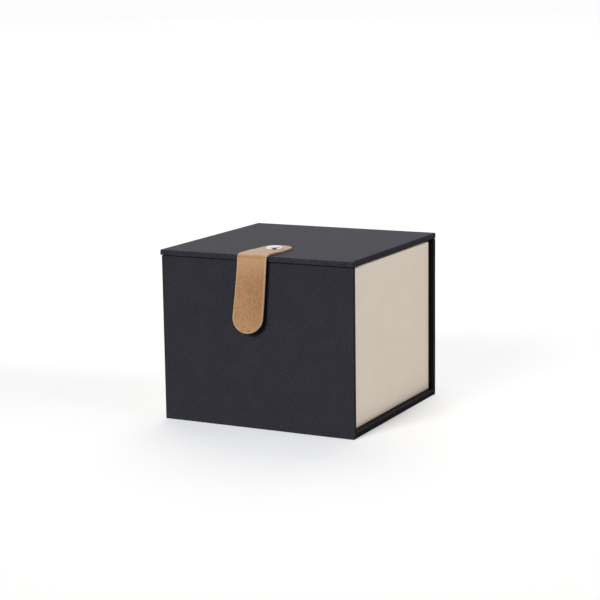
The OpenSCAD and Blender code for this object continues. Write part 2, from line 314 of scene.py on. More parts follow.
def linen_paper(name, at_rest=None):
    """Dark paper embossed with a fine linen weave. at_rest names the attribute that holds
    the rest place of a piece that bends."""
    n = Nodes(name)
    where = n.attribute(at_rest, "Vector") if at_rest else n.place()
    inputs = {
        "Vector": n.waver(where, 2.2 * MM, THREAD_WAVER),
        "Scale": WAVE_BANDS / THREAD,
        "Distortion": 0.6,
        "Detail": 1.0,
        "Detail Scale": 0.4,
    }
    threads = [n.add("TexWave", inputs, bands_direction=way).outputs["Fac"] for way in "XYZ"]
    weave = n.math("ADD", n.math("ADD", threads[0], threads[1]), threads[2])
    weave = n.math("DIVIDE", weave, 3.0)
    fibres = n.noise(where, 0.12 * MM, 4.0, 0.6)
    slubs = n.noise(where, 0.9 * MM, 2.0)
    cloudy = n.noise(where, 9 * MM, 3.0)
    tone = n.math("ADD", n.span(weave, 0.2, 0.8, 0.0, 0.45), n.span(slubs, 0.3, 0.7, 0.0, 0.35))
    tone = n.math("ADD", tone, n.span(cloudy, 0.3, 0.7, -0.02, 0.12))
    colour = n.mix(tone, LINEN_DARK, LINEN_LIGHT)
    specks = n.noise(where, 0.75 * MM, 3.0, 0.6)
    colour = n.mix(n.span(specks, 0.58, 0.7, 0.0, 0.5), colour, LINEN_SPECK)
    colour = n.mix(n.span(specks, 0.42, 0.3, 0.0, 0.6), colour, LINEN_PIT)
    worn = n.math("MULTIPLY", n.attribute("wear_and_shade"), n.span(slubs, 0.35, 0.75, 0.0, 0.4))
    colour = n.mix(worn, colour, LINEN_RUBBED)
    # Below 0 the attribute paints shade: the dark line beside each tuck, the edge strips and the
    # margins by the tray.
    colour = n.mix(n.span(n.attribute("wear_and_shade"), 0, -1, 0.0, 0.85), colour, LINEN_SHADE)
    height = n.math("ADD", n.math("MULTIPLY", weave, 0.7), n.math("MULTIPLY", fibres, 0.3))
    normal = n.bump(n.noise(where, 9 * MM, 1.0), 0.05 * MM, 0.5)
    normal = n.bump(height, 0.03 * MM, 0.55, normal)
    return n.surface(
        Base_Color=colour,
        Roughness=n.span(fibres, 0.3, 0.7, 0.46, 0.58),
        Specular_IOR_Level=0.04,
        Normal=normal,
    )


def cream_paper(name):
    """Smooth uncoated cream paper with faint fibres."""
    n = Nodes(name)
    where = n.place()
    fibres = n.noise(where, 0.16 * MM, 4.0, 0.62)
    flecks = n.noise(where, 0.7 * MM, 2.0)
    cloudy = n.noise(where, 22 * MM, 2.0)
    colour = n.mix(n.span(cloudy, 0.3, 0.7, 0.0, 1.0), CREAM_DARK, CREAM_LIGHT)
    colour = n.mix(n.span(flecks, 0.58, 0.74, 0.0, 0.3), colour, CREAM_FLECK)
    # Above 0 the attribute wears the paper pale and, along the tray's upright corners, paints a
    # highlight.
    worn = n.math("MULTIPLY", n.attribute("wear_and_shade"), n.span(flecks, 0.3, 0.7, 0.5, 0.9))
    colour = n.mix(worn, colour, CREAM_WORN_AND_HIGHLIGHT)
    # Below 0 the attribute paints shade near the tray's foot.
    colour = n.mix(n.span(n.attribute("wear_and_shade"), 0, -1, 0.0, 0.6), colour, CREAM_SHADE)
    normal = n.bump(n.noise(where, 12 * MM, 1.0), 0.1 * MM, 0.4)
    normal = n.bump(fibres, 0.014 * MM, 0.6, normal)
    return n.surface(
        Base_Color=colour,
        Roughness=n.span(fibres, 0.3, 0.7, 0.66, 0.8),
        Specular_IOR_Level=0.35,
        Normal=normal,
    )


def tan_leather(name):
    """Vegetable-tanned leather: pebbled grain, paler cut edges and a napped flesh side."""
    n = Nodes(name)
    where = n.attribute("hide", "Vector")
    spot = n.waver(where, 1.6 * MM, PEBBLE_WAVER)
    inputs = {"Vector": spot, "Scale": 1 / PEBBLE, "Smoothness": 0.5}
    cells = n.add("TexVoronoi", inputs, feature="SMOOTH_F1").outputs["Distance"]
    pebble = n.span(cells, 0.1, 0.75, 1.0, 0.0)
    pores = n.noise(where, 0.14 * MM, 3.0)
    mottle = n.noise(where, 5 * MM, 3.0)
    broad = n.noise(where, 16 * MM, 1.0)
    spread = n.add("SeparateXYZ", {0: where}).outputs
    aside, down = spread[0], spread[1]
    colour = n.mix(n.span(mottle, 0.3, 0.7, 0.0, 1.0), HIDE_DARK, HIDE_LIGHT)
    colour = n.mix(n.span(broad, 0.35, 0.65, 0.0, 0.25), colour, HIDE_BLUSH)
    # Painted shade: darker and redder toward the strap's right side, which is turned from the light.
    colour = n.mix(n.span(aside, -6 * MM, 5 * MM, 0.0, 0.45), colour, HIDE_SHADE_RIGHT)
    # Painted highlights: paler below the fold and toward the tip, where the tail faces up to the light.
    colour = n.mix(n.span(down, PALE_TO, PALE_FROM, 0.0, 0.75), colour, HIDE_FOLD_HIGHLIGHT)
    colour = n.mix(n.span(down, TIP_PALE_FROM, TIP_PALE_TO, 0.0, 0.35), colour, HIDE_TIP_HIGHLIGHT)
    patches = n.span(n.noise(where, 7 * MM, 2.0), 0.35, 0.6, 0.7, 1.0)
    coarse = n.math("MULTIPLY", patches, n.span(down, PALE_FROM, PALE_TO, 0.35, 1.0))
    darker = n.math("MULTIPLY", n.span(pebble, 0.15, 0.6, 0.55, 0.0), coarse)
    colour = n.mix(darker, colour, HIDE_GROOVE)
    # Painted shade: the leather on the lid is dimmer and greyer.
    on_lid = n.span(down, RIVET_TO_EDGE - 1.5 * MM, RIVET_TO_EDGE + 0.5 * MM, 1.0, 0.0)
    colour = n.mix(n.math("MULTIPLY", on_lid, 0.45), colour, HIDE_SHADE_ON_LID)
    rim = n.attribute("rim")
    # The cut edge on the lid is painted dark, a painted shadow line.
    edge = n.mix(on_lid, HIDE_CUT, HIDE_CUT_SHADE_ON_LID)
    colour = n.mix(n.math("MULTIPLY", rim, n.span(pores, 0.3, 0.7, 0.7, 1.0)), colour, edge)
    flesh = n.attribute("flesh")
    colour = n.mix(n.math("MULTIPLY", flesh, n.span(pores, 0.3, 0.7, 0.6, 1.0)), colour, HIDE_FLESH)
    colour = n.mix(n.math("MULTIPLY", n.attribute("crease"), 0.6), colour, HIDE_CREASE)
    grain = n.math("ADD", n.math("MULTIPLY", pebble, 0.75), n.math("MULTIPLY", pores, 0.25))
    normal = n.bump(mottle, 0.12 * MM, 0.5)
    normal = n.bump(grain, 0.07 * MM, 0.6, normal)
    matt = n.math("MAXIMUM", rim, flesh)
    rough = n.math("ADD", n.span(pores, 0.3, 0.7, 0.46, 0.58), n.math("MULTIPLY", matt, 0.3))
    return n.surface(
        Base_Color=colour,
        Roughness=rough,
        Specular_IOR_Level=0.45,
        Coat_Weight=0.36,
        Coat_Roughness=0.3,
        Normal=normal,
    )


def bright_metal(name, colour, rough, mark_size):
    """Plated metal with fine rubbing marks."""
    n = Nodes(name)
    where = n.place()
    long_way = n.add("Mapping", {"Vector": where, "Scale": (1.0, 0.12, 1.0)}).outputs[0]
    marks = n.noise(long_way, mark_size, 4.0, 0.7)
    spots = n.noise(where, 1.4 * MM, 2.0)
    dulled = tuple(0.86 * c for c in colour[:3]) + (1,)
    tint = n.mix(n.span(spots, 0.35, 0.7, 0.0, 0.4), colour, dulled)
    return n.surface(
        Base_Color=tint,
        Metallic=1.0,
        Roughness=n.span(marks, 0.35, 0.7, rough, rough + 0.1),
        Normal=n.bump(marks, 0.003 * MM, 0.4),
    )


def fibre_board(name, dark, light):
    """Pulp board: pressed fibres with darker flecks."""
    n = Nodes(name)
    where = n.place()
    fibres = n.noise(where, 0.35 * MM, 5.0, 0.65)
    flecks = n.noise(where, 1.1 * MM, 3.0, 0.7)
    darkest = tuple(0.6 * c for c in dark[:3]) + (1,)
    colour = n.mix(n.span(fibres, 0.3, 0.7, 0.0, 1.0), dark, light)
    colour = n.mix(n.span(flecks, 0.6, 0.72, 0.0, 0.5), colour, darkest)
    return n.surface(
        Base_Color=colour,
        Roughness=n.span(flecks, 0.3, 0.7, 0.8, 0.92),
        Specular_IOR_Level=0.25,
        Normal=n.bump(fibres, 0.05 * MM, 0.6),
    )


# ---------------------------------------------------------------- mesh tools


def add_piece(name, bm, material):
    """An object from a bmesh, with its faces turned outward and shaded smooth."""
    bmesh.ops.recalc_face_normals(bm, faces=bm.faces)
    for face in bm.faces:
        face.smooth = True
    mesh = bpy.data.meshes.new(name)
    bm.to_mesh(mesh)
    bm.free()
    mesh.set_sharp_from_angle(angle=SHARP_ANGLE)
    piece = bpy.data.objects.new(name, mesh)
    bpy.context.scene.collection.objects.link(piece)
    mesh.materials.append(material)
    return piece


def loft(name, rings, material, closed=False, wear_and_shade=None):
    """A surface through rings of as many points each. It is capped at both ends, or joins
    its last ring to its first where closed. wear gives each ring, or each of a ring's
    points, its share of worn paper above 0, and below 0 its share of painted shade."""
    bm = bmesh.new()
    layer = bm.verts.layers.float.new("wear_and_shade")
    rows = [[bm.verts.new(point) for point in ring] for ring in rings]
    if wear_and_shade:
        for row, shares in zip(rows, wear_and_shade):
            for i, vertex in enumerate(row):
                vertex[layer] = shares[i] if isinstance(shares, list) else shares
    follows = rows[1:] + (rows[:1] if closed else [])
    for row, after in zip(rows, follows):
        for i in range(len(row)):
            k = (i + 1) % len(row)
            bm.faces.new((row[i], row[k], after[k], after[i]))
    if not closed:
        bm.faces.new(rows[0])
        bm.faces.new(rows[-1])
    return add_piece(name, bm, material)


def lathe(name, profile, centre, material, parts=72):
    """A turned solid. profile holds (radius, height) points, from the axis back to the axis."""
    bm = bmesh.new()
    ends = [bm.verts.new(centre + Vector((0, 0, height))) for _, height in (profile[0], profile[-1])]
    rows = []
    for radius, height in profile[1:-1]:
        turns = [2 * math.pi * i / parts for i in range(parts)]
        rows.append([
            bm.verts.new(centre + Vector((radius * math.cos(a), radius * math.sin(a), height)))
            for a in turns
        ])
    for row, after in zip(rows, rows[1:]):
        for i in range(parts):
            k = (i + 1) % parts
            bm.faces.new((row[i], row[k], after[k], after[i]))
    for tip, row in ((ends[0], rows[0]), (ends[1], rows[-1])):
        for i in range(parts):
            bm.faces.new((tip, row[i], row[(i + 1) % parts]))
    return add_piece(name, bm, material)


def spline(points, parts):
    """A Catmull-Rom curve through 2D points, with `parts` steps between each pair."""
    curve = []
    for i in range(len(points) - 1):
        a, b = points[max(0, i - 1)], points[i]
        c, d = points[i + 1], points[min(len(points) - 1, i + 2)]
        for step in range(parts):
            t = step / parts
            curve.append(tuple(
                0.5 * (2 * b[k] + (c[k] - a[k]) * t + (2 * a[k] - 5 * b[k] + 4 * c[k] - d[k]) * t ** 2
                       + (3 * b[k] - a[k] - 3 * c[k] + d[k]) * t ** 3)
                for k in (0, 1)
            ))
    return curve + [points[-1]]


def ring(half_p, half_q, radius, seam, side_lap):
    """Points round a rounded rectangle, as (p, q, outward p, outward q, lap).
    lap is 1 round each corner and up to `seam` from it along the edges that run with p, and
    just past that it is -1 at one point, for the crevice beside a tuck. Along the edges that
    run with q it falls to side_lap."""
    points = []
    for side in range(4):
        turn = side * math.pi / 2
        ahead = Vector((math.cos(turn), math.sin(turn)))
        out = Vector((math.sin(turn), -math.cos(turn)))
        along, away = (half_p, half_q) if side % 2 == 0 else (half_q, half_p)
        reach = along - radius
        near = [(0, 1), (seam / 6, 1), (seam, 1), (seam + FLAP_STEP, -1), (seam + 3 * FLAP_STEP, 0)]
        if side % 2:
            near = [(d, side_lap + (lap > 0) * (1 - side_lap) * (1 - d / seam)) for d, lap in near]
        rest = reach - near[-1][0]
        stops = [(d - reach, lap) for d, lap in near]
        stops += [(rest * (2 * k / SIDE_PARTS - 1), near[-1][1]) for k in range(1, SIDE_PARTS)]
        stops += [(reach - d, lap) for d, lap in reversed(near)]
        for place, lap in stops:
            point = ahead * place + out * away
            points.append((*point, *out, lap))
        corner = ahead * reach + out * (away - radius)
        for k in range(1, ARC_PARTS):
            angle = k * math.pi / 2 / ARC_PARTS
            outward = out * math.cos(angle) + ahead * math.sin(angle)
            points.append((*(corner + outward * radius), *outward, 1))
    return points


def wave(point):
    """The slight unevenness of a hand-wrapped edge, from -1 to 1."""
    return noise.noise(point / EDGE_WAVE_LENGTH)


def quarter(radius, parts=4):
    """(inset, drop) pairs round a quarter circle, from the face that it leaves to the edge."""
    angles = [k * math.pi / 2 / parts for k in range(parts + 1)]
    return [(radius * (1 - math.sin(a)), radius * (1 - math.cos(a))) for a in angles]


# ---------------------------------------------------------------- wrapped panels


def panel_cover(name, node, body, axis, inner, material, tones):
    """Paper wrapped round a board and turned in on its inner face. axis is the panel's
    thickness, and inner is 1 where the inner face looks along +axis. The corner tucks lie on
    the edges that run along X. tones are those of the folded edges, of the strip between them
    and of the margin on the inner face: above 0 worn pale, below 0 darkened as painted shade."""
    worn, strip, margin = tones
    low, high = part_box(node)
    across = Y if axis == Z else Z
    middle, size = (low + high) / 2, high - low
    thick = size[axis]

    def point(p, q, depth):
        made = Vector(middle)
        made[X] += p
        made[across] += q
        made[axis] = (high[axis] - depth) if inner > 0 else (low[axis] + depth)
        return made

    # Each step is inset, depth from the inner face, seam, lap along the sides, way that a
    # doubled layer stands out in the plane and towards the inner face, and tone: worn pale
    # above 0, painted shade below 0.
    steps = [(EDGE_R + 0.4 * MM, thick, NARROW_SEAM, 0, 0, 0, 0)]
    for inset, drop in quarter(EDGE_R):
        steps.append((inset, thick - drop, NARROW_SEAM, 0, 0, 0, worn * (1 - inset / EDGE_R)))
    for share in (0.25, 0.5, 0.75):
        depth = thick - EDGE_R - share * (thick - 2 * EDGE_R)
        tuck = NARROW_SEAM + FLAP_RUN * (1 - depth / thick)
        steps.append((0, depth, tuck, 0, min(1, 2 * share), 0, strip))
    for inset, drop in reversed(quarter(EDGE_R)):
        lean = inset / EDGE_R
        tone = worn * (1 - lean) + margin * lean
        steps.append((inset, drop, FLAP_RUN, lean, 1 - lean, lean, tone))
    steps.append((EDGE_R + 0.5 * MM, 0, WIDE_SEAM, 1, 0, 1, margin))
    steps.append((TURN_IN - FLAP_T, 0, WIDE_SEAM, 1, 0, 1, margin))
    steps.append((TURN_IN, FLAP_END, WIDE_SEAM, 1, 0, 1, 0))
    steps.append((TURN_IN, PAPER_T, WIDE_SEAM, 0, 0, 0, 0))
    steps.append((PAPER_T, PAPER_T, NARROW_SEAM, 0, 0, 0, 0))
    steps.append((PAPER_T, thick - PAPER_T, NARROW_SEAM, 0, 0, 0, 0))

    rings, wear_and_shade = [], []
    for inset, depth, seam, side_lap, out_plane, out_face, wear_and_shade_tone in steps:
        radius = max(CORNER_R - inset, LEAST_R)
        half_p, half_q = size[X] / 2 - inset, size[across] / 2 - inset
        points, shares = [], []
        for p, q, out_p, out_q, lap in ring(half_p, half_q, radius, seam, side_lap):
            # A point beside a tuck gets painted shade, a dark line; the others take the step's tone.
            shares.append(wear_and_shade_tone if lap >= 0 else TUCK_SHADE)
            place = point(p, q, depth)
            shift = out_plane * lap * FLAP_T
            if inset < EDGE_R and PAPER_T < depth:
                shift += EDGE_WAVE * wave(place)
            place[X] += shift * out_p
            place[across] += shift * out_q
            place[axis] += inner * out_face * lap * FLAP_T * 0.5
            points.append(place)
        rings.append(points)
        wear_and_shade.append(shares)
    cover = loft(name, rings, material, wear_and_shade=wear_and_shade)
    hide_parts(node)
    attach(cover, body)
    return cover


def lid_lining_sheet(material):
    """Sheet glued inside the lid, over the turned-in margins of the wrap."""
    low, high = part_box("lid_lining")
    lid_low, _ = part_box("lid_wrap")
    middle, size = (low + high) / 2, high - low
    top, bottom = lid_low.z - CLEAR, low.z
    steps = [(2 * MM, bottom)]
    steps += [(inset, bottom + drop) for inset, drop in quarter(LINING_R, 3)]
    steps += [(0, top), (2 * MM, top)]
    rings = []
    for inset, height in steps:
        radius = max(LINING_CORNER_R - inset, 0.3 * MM)
        rings.append([
            Vector((middle.x + p, middle.y + q, height))
            for p, q, *_ in ring(size.x / 2 - inset, size.y / 2 - inset, radius, MM, 0)
        ])
    sheet = loft("lid_lining_sheet", rings, material, wear_and_shade=[0, 0, 0.5, 0.5, 0.3, 0.2, 0])
    punch(sheet, POST_HOLE_R)
    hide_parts("lid_lining")
    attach(sheet, "lid")
    return sheet


def hinge_paper(material):
    """Strip of the wrap paper along the outside of the joint between the back and the lid.
    It dips a little into the joint and bends there."""
    low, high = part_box("hinge_strip")
    lid_low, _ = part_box("lid_wrap")
    _, back_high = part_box("back_wrap")
    joint_z = (lid_low.z + back_high.z) / 2
    heights = [low.z, low.z + HINGE_END, low.z + 0.5 * MM]
    heights += [low.z + k * MM for k in (2, 4, 6, 8, 10)]
    heights += [joint_z + k * 0.1 * MM for k in range(-8, 9)]
    heights += [joint_z + 1.4 * MM, joint_z + 2.2 * MM, high.z - HINGE_END, high.z]
    stations = 40
    rings = []
    for i in range(stations + 1):
        x = low.x + (high.x - low.x) * i / stations
        outer, inside = [], []
        for z in heights:
            groove = HINGE_GROOVE * math.exp(-(((z - joint_z) / HINGE_GROOVE_REACH) ** 2))
            end = max(0, 1 - min(z - low.z, high.z - z) / HINGE_END) * HINGE_END_DROP
            uneven = HINGE_WAVE * wave(Vector((x, z * 3, 0.3))) * (groove < HINGE_FLAT)
            face = low.y + CLEAR - groove
            outer.append(Vector((x, face + HINGE_PAPER_T - end + uneven, z)))
            inside.append(Vector((x, face, z)))
        rings.append(outer + inside[::-1])
    strip = loft("hinge_paper", rings, material)
    keep_rest_place(strip, "at_rest")
    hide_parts("hinge_strip")
    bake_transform(strip)
    return strip


def keep_rest_place(piece, name):
    """Writes each vertex's place to an attribute, so that a pattern stays put as it bends."""
    mesh = piece.data
    layer = mesh.attributes.new(name, "FLOAT_VECTOR", "POINT")
    layer.data.foreach_set("vector", [c for vertex in mesh.vertices for c in vertex.co])


def punch(piece, radius):
    """Cuts the rivet's hole through a piece."""
    low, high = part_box("rivet_post")
    top = high.z - low.z + MM
    middle = (low + high) / 2
    foot = Vector((middle.x, middle.y, low.z))
    outline = [(0, -MM), (radius, -MM), (radius, top), (0, top)]
    cutter = lathe("cutter", outline, foot, piece.data.materials[0], parts=40)
    hole = piece.modifiers.new("hole", "BOOLEAN")
    hole.object, hole.operation, hole.solver = cutter, "DIFFERENCE", "EXACT"
    bpy.context.view_layer.update()
    shape = piece.evaluated_get(bpy.context.evaluated_depsgraph_get())
    mesh = bpy.data.meshes.new_from_object(shape)
    mesh.set_sharp_from_angle(angle=SHARP_ANGLE)
    piece.modifiers.clear()
    piece.data = mesh
    bpy.data.objects.remove(cutter)


# ---------------------------------------------------------------- tray


def tray_rings(low, high, steps):
    """Rings round the tray. Each step is inset, height, corner radius and lap."""
    middle, size = (low + high) / 2, high - low
    rings = []
    for inset, height, radius, lapped in steps:
        half_x, half_y = size.x / 2 - inset, size.y / 2 - inset
        points = []
        for p, q, out_p, out_q, lap in ring(half_x, half_y, radius, TRAY_SEAM, 0):
            shift = -TRAY_LAP_T * lap * lapped
            points.append(Vector((middle.x + p + shift * out_p, middle.y + q + shift * out_q, height)))
        rings.append(points)
    return rings


def paint_corner_highlights(piece, low, high):
    """Paints the paper paler along the tray's upright corners, a painted highlight on their rounding.
    """
    wear_and_shade = piece.data.attributes["wear_and_shade"].data
    for vertex in piece.data.vertices:
        from_edges = [min(abs(vertex.co[k] - low[k]), abs(vertex.co[k] - high[k])) for k in (X, Y)]
        if max(from_edges) < TRAY_CORNER_R + 0.1 * MM:
            wear_and_shade[vertex.index].value += 1


def tray_paper(material):
    """Cream paper over the tray's outside, its rim and the top of its inside."""
    low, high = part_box("tray_wrap")
    bottom, rim = low.z, high.z
    turned = rim - RIM_TURN_IN
    underside = bottom + 2 * CLEAR
    steps = [(inset, underside, TRAY_CORNER_R, 0) for inset in (TURN_IN, BOTTOM_R)]
    steps += [(inset, bottom + drop, TRAY_CORNER_R, 0) for inset, drop in quarter(BOTTOM_R)]
    steps += [(0, bottom + lift, TRAY_CORNER_R, 0) for lift in (2 * MM, 4 * MM, 8 * MM)]
    steps += [(0, bottom + (rim - bottom) * k / 6, TRAY_CORNER_R, 0) for k in range(1, 6)]
    steps += [(inset, rim - drop, TRAY_CORNER_R, 0) for inset, drop in reversed(quarter(RIM_R))]
    # Painted shade darkens the paper along its foot, where it meets the base; the rim is worn pale.
    wear_and_shade = [0, 0] + [-1] * 5 + [-0.55, -0.25, -0.08] + [0] * 5 + [0.2, 0.6, 1, 0.8, 0.4]
    steps += [(WALL_T - inset, rim - drop, INNER_CORNER_R, 1) for inset, drop in quarter(RIM_R)]
    wear_and_shade += [0.4, 0.8, 1, 0.6, 0.2]
    steps += [(WALL_T, height, INNER_CORNER_R, 1) for height in (rim - 4 * MM, turned)]
    steps += [(WALL_IN + CLEAR, height, INNER_CORNER_R, 0) for height in (turned, rim - RIM_R)]
    # The side of the paper that lies on the boards
    hidden = RIM_R - TRAY_PAPER_T
    back = [(WALL_T / 2 + hidden, rim - TRAY_PAPER_T), (WALL_T / 2 - hidden, rim - TRAY_PAPER_T)]
    back += [(TRAY_PAPER_T, rim - RIM_R), (TRAY_PAPER_T, bottom + BOTTOM_R)]
    back += [(BOTTOM_R, bottom + TRAY_PAPER_T), (TURN_IN, bottom + TRAY_PAPER_T)]
    steps += [(inset, height, HIDDEN_CORNER_R, 0) for inset, height in back]
    wear_and_shade += [0] * (len(steps) - len(wear_and_shade))
    paper = loft("tray_paper", tray_rings(low, high, steps), material, closed=True, wear_and_shade=wear_and_shade)
    paint_corner_highlights(paper, low, high)
    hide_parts("tray_wrap")
    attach(paper, "box")
    return paper


def tray_inner_paper(material):
    """Lining on the inside of the tray's walls. The edge of the turned-in wrap shows through
    it as a faint step."""
    tray_low, tray_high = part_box("tray_wrap")
    low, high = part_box("tray_lining")
    turned = tray_high.z - RIM_TURN_IN
    dipped = LINING_IN - LINING_DIP
    bevel, blur = 0.05 * MM, 0.6 * MM
    # Each point is inset, height and lap
    path = [(WALL_T + CLEAR, high.z, 0), (LINING_IN - bevel, high.z, 0)]
    path += [(LINING_IN, high.z - bevel, 1), (LINING_IN, high.z - blur, 1)]
    path += [(LINING_IN, turned + blur, 1), (dipped, turned - blur, 1)]
    path += [(dipped, low.z + (turned - low.z) * k / 5, 1) for k in (4, 3, 2, 1)]
    path += [(dipped, low.z + 0.3 * MM, 1), (dipped + 0.25 * MM, low.z, 0)]
    path += [(WALL_IN + CLEAR, low.z, 0), (WALL_IN + CLEAR, turned - FLAP_END, 0)]
    path += [(WALL_T + CLEAR, turned, 0)]
    steps = [(inset, height, INNER_CORNER_R, lap) for inset, height, lap in path]
    wear_and_shade = [0.2, 0.7, 0.7, 0.1] + [0] * (len(steps) - 4)
    rings = tray_rings(tray_low, tray_high, steps)
    paper = loft("tray_inner_paper", rings, material, closed=True, wear_and_shade=wear_and_shade)
    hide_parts("tray_lining")
    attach(paper, "box")
    return paper


def floor_paper(material):
    """Sheet on the tray's floor, its edges lifted a little."""
    low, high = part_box("floor_sheet")
    middle, size = (low + high) / 2, high - low
    # Each step is inset, share of the lift and share of the thickness
    steps = [(14 * MM, 0, 1), (4 * MM, 0.3, 1), (0.06 * MM, 1, 1), (0, 1, 0.7)]
    steps += [(0, 1, 0.1), (0.06 * MM, 1, 0), (4 * MM, 0.3, 0), (14 * MM, 0, 0)]
    rings = []
    for inset, lifted, share in steps:
        radius = FLOOR_CORNER_R + inset / 4
        level = low.z + share * size.z
        points = []
        for p, q, *_ in ring(size.x / 2 - inset, size.y / 2 - inset, radius, MM, 0):
            lift = FLOOR_LIFT * lifted * (0.5 + wave(Vector((p, q, 0))))
            points.append(Vector((middle.x + p, middle.y + q, level + lift)))
        rings.append(points)
    sheet = loft("floor_paper", rings, material, wear_and_shade=[0, 0, 0.5, 0.7, 0.4, 0, 0, 0])
    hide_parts("floor_sheet")
    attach(sheet, "box")
    return sheet


# ---------------------------------------------------------------- strap


class StrapCurve:
    """The line that the middle of the leather follows from its rear end, along the lid, over
    its front edge and down. b is the distance in front of the rivet along that line."""

    STEP = 0.05 * MM

    def __init__(self, rivet_y, lid_top):
        self.fold_b = RIVET_TO_EDGE
        self.lid_front, self.lid_top = rivet_y - RIVET_TO_EDGE, lid_top
        self.end_b = STRAP_END
        start_b = -STRAP_REAR - MM
        self.points = []
        b, y, z = start_b, rivet_y - start_b, lid_top + STRAP_T / 2
        while b < self.end_b + MM:
            slope = self.slope(b)
            self.points.append((b, y, z, slope))
            y -= math.cos(slope) * self.STEP
            z -= math.sin(slope) * self.STEP
            b += self.STEP

    def slope(self, b):
        """How far the leather points down from level, in radians."""
        past = b - self.fold_b
        rise = -BULGE_SLOPE * (smooth_step(b, *BULGE_UP) - smooth_step(b, *BULGE_DOWN))
        fall = FALL_SLOPE * smooth_step(b, *FALL_RANGE)
        turn = (TAIL_STEEPEST - FALL_SLOPE) * smooth_step(past, TURN_FROM, TURN_TO)
        curl = (TAIL_STEEPEST - TAIL_TIP_SLOPE) * smooth_step(past, CURL_FROM, self.end_b - self.fold_b)
        return rise + fall + turn - curl

    def at(self, b):
        """(y, z, slope) at a distance along the curve."""
        place = (b - self.points[0][0]) / self.STEP
        index = min(len(self.points) - 2, max(0, int(place)))
        share = place - index
        first, second = self.points[index], self.points[index + 1]
        return tuple(first[k] + (second[k] - first[k]) * share for k in (1, 2, 3))


def strap_place(curve, along, side, height):
    """Where a point of the flat leather goes, and its place in the flat leather. along runs
    from the rivet down the middle of the strap, side is to its right, and height is from the
    middle of the leather to its grain side."""
    from_swell = (along - SWELL_AT) / SWELL_REACH
    swell = max(0, 2 * side / STRAP_W) ** 2 * math.exp(-(from_swell ** 2))
    side += LID_SWELL * swell
    a = RIVET_X - along * math.sin(STRAP_SKEW) + side * math.cos(STRAP_SKEW)
    b = along * math.cos(STRAP_SKEW) + side * math.sin(STRAP_SKEW)
    y, z, slope = curve.at(b)
    if height > 0:
        from_cap = max(0, math.hypot(along, side) - CAP_R) / CAP_DENT_REACH
        height -= CAP_DENT * math.exp(-(from_cap ** 2))
    past = b - curve.fold_b
    twist = TAIL_TWIST * smooth_step(past, TWIST_FROM, curve.end_b - curve.fold_b)
    height -= TAIL_CROWN * (2 * side / STRAP_W) ** 2 * smooth_step(past, CROWN_FROM, CROWN_TO)
    a -= math.tan(TAIL_LEAN) * max(0, past)
    z -= EDGE_DROP * swell
    y += -height * math.sin(slope) + side * math.sin(twist)
    z += height * math.cos(slope)
    if y > curve.lid_front - LID_CONTACT_END:
        z = max(z, curve.lid_top + LID_CONTACT)
    a += height * math.sin(twist)
    return Vector((a, y, z)), Vector((a, b, height))


def strap_outline_rows():
    """Rows across the strap, as (centre along, share of the radius along, share across)."""
    radius = STRAP_W / 2
    first = -STRAP_REAR + radius
    last = STRAP_END / math.cos(STRAP_SKEW) - radius
    arc = [math.radians(a) for a in (0, 5, 10, 16, 23, 31, 40, 50, 60, 70, 80)]
    rows = [(first, -math.cos(a), math.sin(a)) for a in arc]
    place = first
    while place < last - 0.1 * MM:
        rows.append((place, 0, 1))
        near_fold = abs(place - RIVET_TO_EDGE - MM) < FOLD_ROWS
        place += FOLD_ROW_GAP if near_fold else ROW_GAP
    rows.append((last, 0, 1))
    rows += [(last, math.cos(a), math.sin(a)) for a in reversed(arc)]
    return rows


